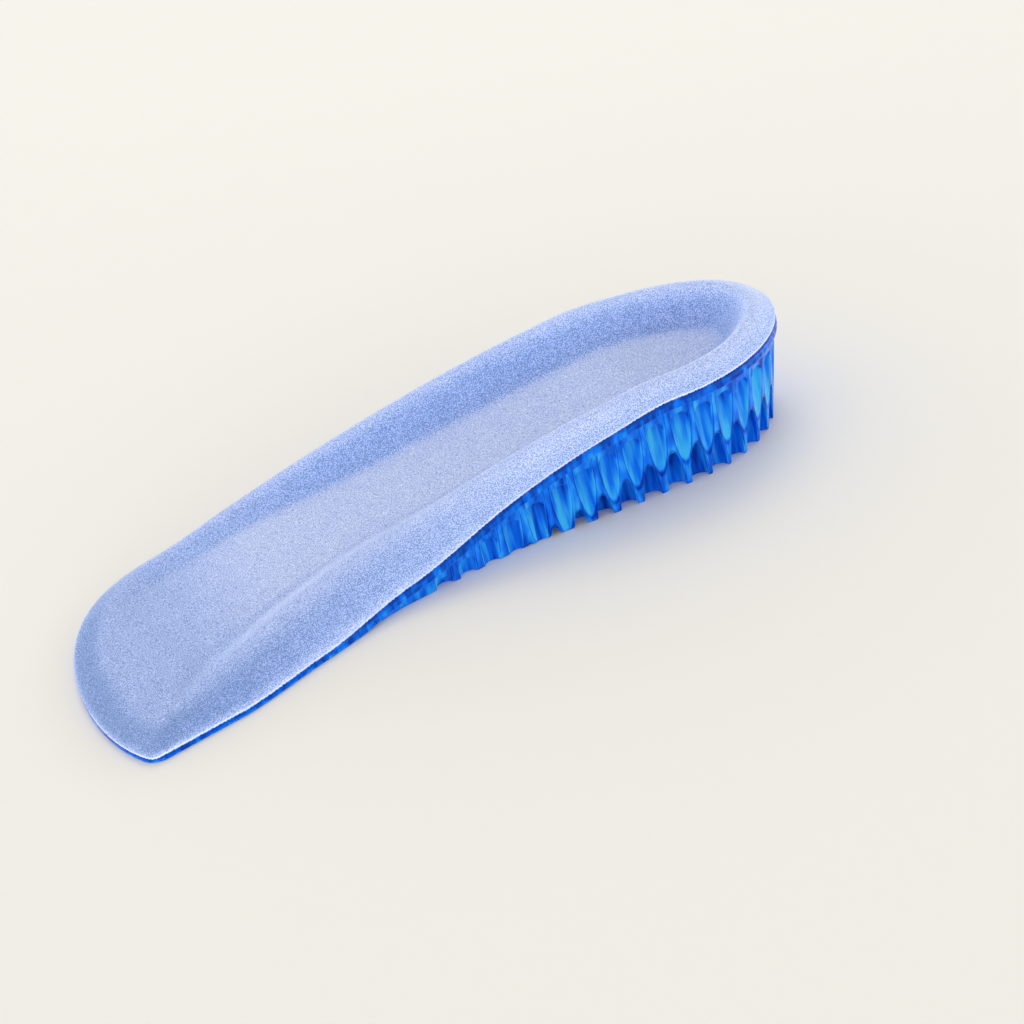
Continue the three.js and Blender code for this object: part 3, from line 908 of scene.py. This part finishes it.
        # Which side of its nearest cell each point lies on, for painting one half of each cell lit and the
        # other shaded
        shaded_side = np.zeros(len(points))
        for x, y, _ in self.cells:
            off = points[:, :2] - np.array([x, y])
            reach = np.linalg.norm(off, axis=1) - self.radius
            shaded_side = np.where(reach < edge, off[:, 0] / self.radius, shaded_side)
            edge = np.minimum(edge, reach)
        index, distance, share = self.outline.nearest(points[:, :2])
        above = points[:, 2] - self.outline.between(self.flange, index, share)
        wall = (points[:, 2] > FOOT_ROUND) & (distance > self.overhang / 2)
        # A painted highlight line just inside each cell's mouth, and painted shade on the lip just outside it
        across = [-CELL_DRAFT, -CELL_DRAFT / 2, self.lip * LIP_STEPS[2], self.lip * LIP_STEPS[1], self.lip]
        inner = np.interp(edge, across, [WEB_TINT, HIGHLIGHT_LINE_TINT, HIGHLIGHT_LINE_TINT, EDGE_SHADE_TINT, LAND_TINT])
        # The half of each cell that faces the heel painted lighter and the other half darker
        inner = inner - HALF_LIGHT_TINT * shaded_side * (edge < 0)
        # Painted shade on the flange under the cover's edge, darkest at the top in the groove
        flange_shading = np.where(above < FLANGE_LINE, LAND_TINT, np.where(above < GROOVE, FLANGE_SHADE_TINT, EDGE_SHADE_TINT))
        return np.where(distance < self.overhang / 2, flange_shading, np.where(wall, inner, BASE_TINT))

    def dish(self, points, height):
        """The dish under the heel: a soft border and a floor of scattered pips."""
        off = points - np.array(DISH_CENTRE)
        radius = np.linalg.norm(off, axis=1)
        depth = self.settings.dish_depth / MM
        hollow = depth * smooth((self.dish_radius - radius) / DISH_EASE + DISH_LEAD)
        random = np.random.default_rng(GEL_SEED)
        count = round((self.dish_radius / PIP_SPACING) ** 2 * math.pi)
        step = np.arange(count) + 0.5
        swirl = step * math.pi * (3 - math.sqrt(5))
        out = (self.dish_radius - PIP_MARGIN) * np.sqrt(step / count)
        spots = np.column_stack([out * np.cos(swirl), out * np.sin(swirl)])
        spots += random.normal(0, PIP_SCATTER, spots.shape)
        turn = random.uniform(0, math.pi, count)
        bumps = np.zeros(len(points))
        for (x, y), angle in zip(spots, turn):
            dx, dy = off[:, 0] - x, off[:, 1] - y
            along = dx * math.cos(angle) + dy * math.sin(angle)
            across = dy * math.cos(angle) - dx * math.sin(angle)
            spot = np.exp(-(along / PIP_LENGTH) ** 2 - (across / PIP_WIDTH) ** 2)
            bumps = np.maximum(bumps, spot)
        hollow = hollow - PIP_RISE * bumps * (radius < self.dish_radius - PIP_BORDER)
        return np.where(radius < self.dish_radius + DISH_BORDER, np.maximum(hollow, height), height)


def loop_edges(first, count, closed=True):
    """Edges that join points in their order, and the last to the first on a closed line."""
    last = count if closed else count - 1
    return [(first + k, first + (k + 1) % count) for k in range(last)]


def under_mesh(form):
    """Triangles of the underside: a plan that keeps every ring and edge line, lifted to its heights."""
    outline = form.outline
    rim = np.column_stack([outline.x, outline.y])
    points, edges = [], []

    def add_line(line, closed):
        first = sum(len(p) for p in points)
        points.append(line)
        edges.extend(loop_edges(first, len(line), closed))

    add_line(rim + outline.normal * FLANGE_ROUND, True)
    tall = form.flange > MIN_WALL
    insets = [np.full(outline.count, form.overhang)]
    insets += [np.full(outline.count, form.overhang + form.draft * FLUTE_DROP)]
    insets += [form.overhang + form.draft * form.flange * k / WALL_STEPS for k in range(1, WALL_STEPS)]
    insets += [form.overhang + form.draft * (form.flange + k) for k in FOOT_STEPS]
    for inset in insets:
        line = rim + outline.normal * inset[:, None]
        for run in runs(tall & (inset > form.overhang - SAME_INSET)):
            add_line(line[run], len(run) == outline.count)
    turn = np.arange(form.sides) * 2 * math.pi / form.sides
    circle = np.column_stack([np.cos(turn), np.sin(turn)])
    mouth, dome = form.ring_radii()
    for x, y, _ in form.cells:
        points.append(np.array([[x, y]]))
        for radius in mouth + dome:
            ring = circle * radius + np.array([x, y])
            _, distance, _ = outline.nearest(ring)
            for run in runs(distance > FLANGE_ROUND + RIM_CLEARANCE):
                add_line(ring[run], len(run) == form.sides)
    dish_turn = np.linspace(0, 2 * math.pi, DISH_SIDES, endpoint=False)
    dish_circle = np.column_stack([np.cos(dish_turn), np.sin(dish_turn)])
    for step in np.arange(DISH_INNER_RING, DISH_BORDER, DISH_RING_STEP):
        add_line(dish_circle * (form.dish_radius + step) + np.array(DISH_CENTRE), True)
    grid = np.arange(-form.dish_radius, form.dish_radius, DISH_STEP)
    inner = form.dish_radius - PIP_MARGIN
    floor = np.array([(x, y) for x in grid for y in grid if math.hypot(x, y) < inner])
    points.append(floor + np.array(DISH_CENTRE))
    plan = [Vector(p) for p in np.concatenate(points)]
    found, _, faces, _, _, _ = delaunay_2d_cdt(plan, edges, [], 1, SAME_POINT)
    flat = np.array([(v.x, v.y) for v in found])
    height = form.dish(flat, form.under(flat))
    return np.column_stack([flat, height]), [face[::-1] for face in faces]


def runs(keep):
    """Stretches of neighbouring kept places on a closed line."""
    count = len(keep)
    if keep.all():
        return [np.arange(count)]
    gaps = np.flatnonzero(~keep)
    stretches = []
    for start, stop in zip(gaps, [*gaps[1:], gaps[0] + count]):
        if stop - start > 2:
            stretches.append(np.arange(start + 1, stop) % count)
    return stretches


def build_gel(cover, settings):
    """The gel as one closed mesh: the top under the cover, the flange's edge and the underside."""
    form = GelForm(settings)
    outline = form.outline
    drop = cover.thickness / MM + BOND
    rings = []
    start = FLANGE_ROUND + EDGE_STEP
    for share in np.linspace(1, 0, GEL_TOP_RINGS):
        distance = start + (outline.reach - start) * share ** RING_CROWD
        rings.append(place_ring(outline, distance, drop))
    upper = outline.edge - drop
    for point in FLANGE_PROFILE:
        rim = np.column_stack([outline.x, outline.y]) + outline.normal * point.inset
        rings.append(np.column_stack([rim, form.flange + (upper - form.flange) * point.share]))
    shell = np.concatenate(rings)
    shell_faces = [face[::-1] for face in ring_faces(len(rings), outline.count)]
    under, under_faces = under_mesh(form)
    faces = [*shell_faces, *([c + len(shell) for c in face] for face in under_faces)]
    points, faces, _ = merged(np.concatenate([shell, under]), faces, [0] * len(faces))
    gel = add_piece("gel_base_moulded", points, faces, [gel_material(settings)], outline.middle)
    paint(gel.data, TINT_AND_PAINTED_LIGHT, form.tint_and_painted_light(points))
    gel.data.set_sharp_from_angle(angle=SHARP_ANGLE)
    weigh = gel.modifiers.new("Even shading", "WEIGHTED_NORMAL")
    weigh.keep_sharp = True
    return gel


# Stage

FLOOR_SIDE = 6.0
FLOOR_GAP = 0.05 * MM
SENSOR = 36.0
NEAREST = 0.01


def build_floor(settings):
    """A floor of matt paper: even and dull, so that only soft shadows show on it."""
    half = FLOOR_SIDE / 2
    mesh = bpy.data.meshes.new("floor")
    corners = [(-half, -half), (half, -half), (half, half), (-half, half)]
    mesh.from_pydata([(x, y, -FLOOR_GAP) for x, y in corners], [], [(0, 1, 2, 3)])
    material, tree = new_material("Paper backdrop matt")
    shader = add_node(tree, "ShaderNodeBsdfPrincipled", {
        "Base Color": rgba(settings.floor), "Roughness": 0.9, "Specular IOR Level": 0.1})
    add_node(tree, "ShaderNodeOutputMaterial", {"Surface": shader.outputs[0]})
    mesh.materials.append(material)
    floor = bpy.data.objects.new("floor", mesh)
    bpy.context.scene.collection.objects.link(floor)


def build_camera(settings):
    """A camera set by its turn, height, roll and distance about the point that it looks at."""
    azimuth, elevation, roll = settings.azimuth, settings.elevation, settings.roll
    back = Vector((math.sin(azimuth) * math.cos(elevation),
                   -math.cos(azimuth) * math.cos(elevation), math.sin(elevation)))
    right = (-back).cross(Vector((0, 0, 1))).normalized()
    up = right.cross(-back)
    right, up = right * math.cos(roll) - up * math.sin(roll), right * math.sin(roll) + up * math.cos(roll)
    camera = bpy.data.objects.new("camera", bpy.data.cameras.new("camera"))
    place = Vector(settings.target) + back * settings.distance
    camera.matrix_world = Matrix.Translation(place) @ Matrix((right, up, back)).transposed().to_4x4()
    camera.data.lens = settings.lens
    camera.data.sensor_width = SENSOR
    camera.data.clip_start = NEAREST
    bpy.context.scene.collection.objects.link(camera)
    bpy.context.scene.camera = camera


Softbox = namedtuple("Softbox", "name place size power")
SOFTBOXES = [
    Softbox("overhead", (0.4, 0.7, 1.2), 0.8, 3.0),
]

# A light tent: its walls are brighter than its roof, up to a height given as the sine of an angle

TENT_COLOUR = (1.0, 0.995, 0.985, 1.0)
TENT_WALL = 4.6
TENT_ROOF = 0.64
TENT_WALL_TOP = 0.45


def build_lights():
    """One soft box overhead, in a tent of white cloth that is lit round its walls."""
    for box in SOFTBOXES:
        light = bpy.data.lights.new(box.name, "AREA")
        light.energy = box.power
        light.size = box.size
        lamp = bpy.data.objects.new(box.name, light)
        lamp.location = box.place
        lamp.rotation_euler = (-Vector(box.place)).to_track_quat("-Z", "Y").to_euler()
        bpy.context.scene.collection.objects.link(lamp)
    world = bpy.data.worlds.new("Light tent")
    world.use_nodes = True
    tree = world.node_tree
    tree.nodes.clear()
    direction = add_node(tree, "ShaderNodeTexCoord").outputs["Generated"]
    height = add_node(tree, "ShaderNodeSeparateXYZ", {0: direction}).outputs["Z"]
    strength = add_node(tree, "ShaderNodeMapRange", {
        "Value": height, "From Min": 0.0, "From Max": TENT_WALL_TOP,
        "To Min": TENT_WALL, "To Max": TENT_ROOF}, interpolation_type="SMOOTHSTEP")
    shader = add_node(tree, "ShaderNodeBackground", {
        "Color": TENT_COLOUR, "Strength": strength.outputs[0]})
    add_node(tree, "ShaderNodeOutputWorld", {"Surface": shader.outputs[0]})
    bpy.context.scene.world = world
    bpy.context.scene.view_settings.view_transform = "Standard"


# Operators and panel


class INSOLE_OT_gel(bpy.types.Operator):
    """Builds the moulded gel base with its cells, flutes, flange and dish"""

    bl_idname = "insole.gel"
    bl_label = "Gel base"

    def execute(self, context):
        gel = build_gel(context.scene.insole_cover, context.scene.insole_gel)
        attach(gel, "root")
        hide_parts("gel_base")
        return {"FINISHED"}


class INSOLE_OT_cover(bpy.types.Operator):
    """Builds the velour cover that is bonded over the gel"""

    bl_idname = "insole.cover"
    bl_label = "Velour cover"

    def execute(self, context):
        cover = build_cover(context.scene.insole_cover)
        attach(cover, "root")
        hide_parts("top_cover")
        return {"FINISHED"}


class INSOLE_OT_stage(bpy.types.Operator):
    """Builds the plain floor, the soft lights and the camera"""

    bl_idname = "insole.stage"
    bl_label = "Stage"

    def execute(self, context):
        build_floor(context.scene.insole_stage)
        build_lights()
        build_camera(context.scene.insole_stage)
        return {"FINISHED"}


class INSOLE_PT_panel(bpy.types.Panel):
    """Lists the insole's pieces and their settings"""

    bl_idname = "INSOLE_PT_panel"
    bl_label = "Insole"
    bl_space_type = "VIEW_3D"
    bl_region_type = "UI"
    bl_category = "Insole"

    def draw(self, context):
        for operator, name in PANEL_ROWS:
            self.layout.operator(operator)
            settings = getattr(context.scene, name)
            column = self.layout.column(align=True)
            for key in settings.bl_rna.properties.keys():
                if key not in ("rna_type", "name"):
                    column.prop(settings, key)


PANEL_ROWS = [
    ("insole.gel", "insole_gel"),
    ("insole.cover", "insole_cover"),
    ("insole.stage", "insole_stage"),
]
SETTINGS = {
    "insole_cover": InsoleCoverSettings,
    "insole_gel": InsoleGelSettings,
    "insole_stage": InsoleStageSettings,
}
CLASSES = [*SETTINGS.values(), INSOLE_OT_gel, INSOLE_OT_cover, INSOLE_OT_stage, INSOLE_PT_panel]


def register():
    for kind in CLASSES:
        bpy.utils.register_class(kind)
    for name, kind in SETTINGS.items():
        setattr(bpy.types.Scene, name, PointerProperty(type=kind))


def unregister():
    for name in SETTINGS:
        delattr(bpy.types.Scene, name)
    for kind in reversed(CLASSES):
        bpy.utils.unregister_class(kind)


def main():
    register()
    bpy.ops.insole.gel()
    bpy.ops.insole.cover()
    bpy.ops.insole.stage()
    bpy.context.view_layer.update()


if __name__ == "__main__":
    main()
